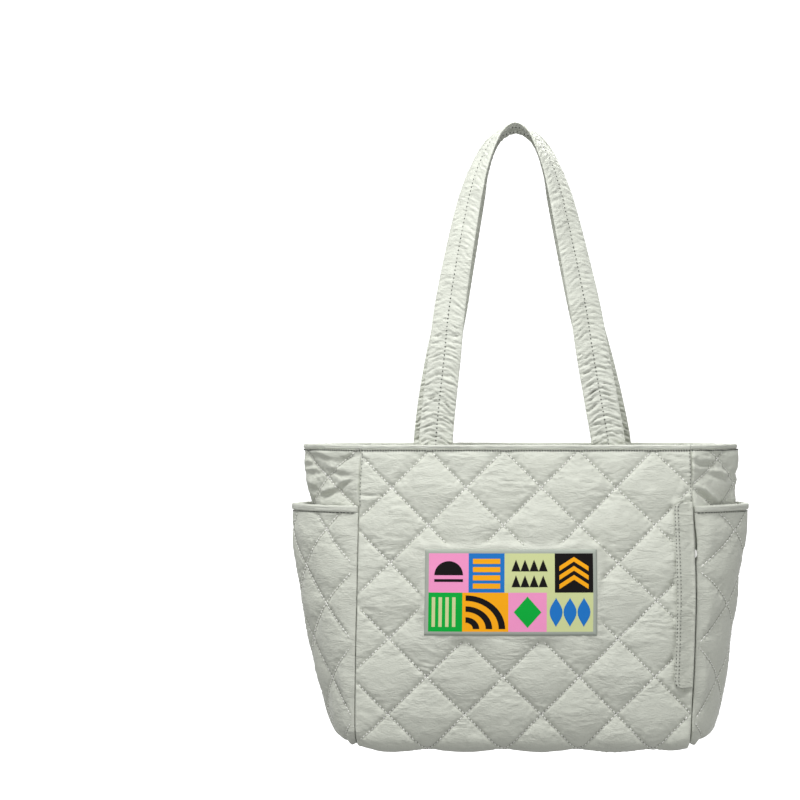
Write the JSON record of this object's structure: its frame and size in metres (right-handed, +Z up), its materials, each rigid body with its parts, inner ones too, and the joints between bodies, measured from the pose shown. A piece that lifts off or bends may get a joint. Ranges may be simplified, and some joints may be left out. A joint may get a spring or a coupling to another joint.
{
  "type": "quilted travel tote bag",
  "caption": "Open-topped tote bag of diamond-quilted padded cloth with shoulder handles, side pockets, a covered zip pocket and a printed patch, hanging from its handles.",
  "frame": {"origin": "where the bag hangs: under the crown of the handles, midway between the two", "axes": "+Z up; the front with the patch faces -Y; +X to the right seen from the front"},
  "size_m": [0.4781, 0.1741, 0.644],
  "materials": {
    "quilted_nylon": "pale sage-grey crinkled nylon, matt with a faint sheen, quilted over padding",
    "smooth_nylon": "the same nylon, folded and ruched with topstitching",
    "printed_patch": "smooth cloth printed in flat bright colours",
    "zip_tape": "woven grey tape with a nylon coil",
    "white_enamel": "glossy white enamel on a cast pull"
  },
  "bodies": {
    "root": {"front_panel": "quilted_nylon", "back_panel": "quilted_nylon", "gusset_left": "quilted_nylon", "gusset_right": "quilted_nylon", "base_panel": "quilted_nylon", "side_pocket_left": "quilted_nylon", "side_pocket_right": "quilted_nylon", "rim_hem_front": "smooth_nylon", "rim_hem_back": "smooth_nylon", "rim_hem_left": "smooth_nylon", "rim_hem_right": "smooth_nylon", "pocket_hem_left": "smooth_nylon", "pocket_hem_right": "smooth_nylon", "handle_front": "smooth_nylon", "handle_back": "smooth_nylon", "zip_cover": "smooth_nylon", "pocket_zip": "zip_tape", "zip_pull": "white_enamel", "printed_patch": "printed_patch"}
  },
  "joints": []
}
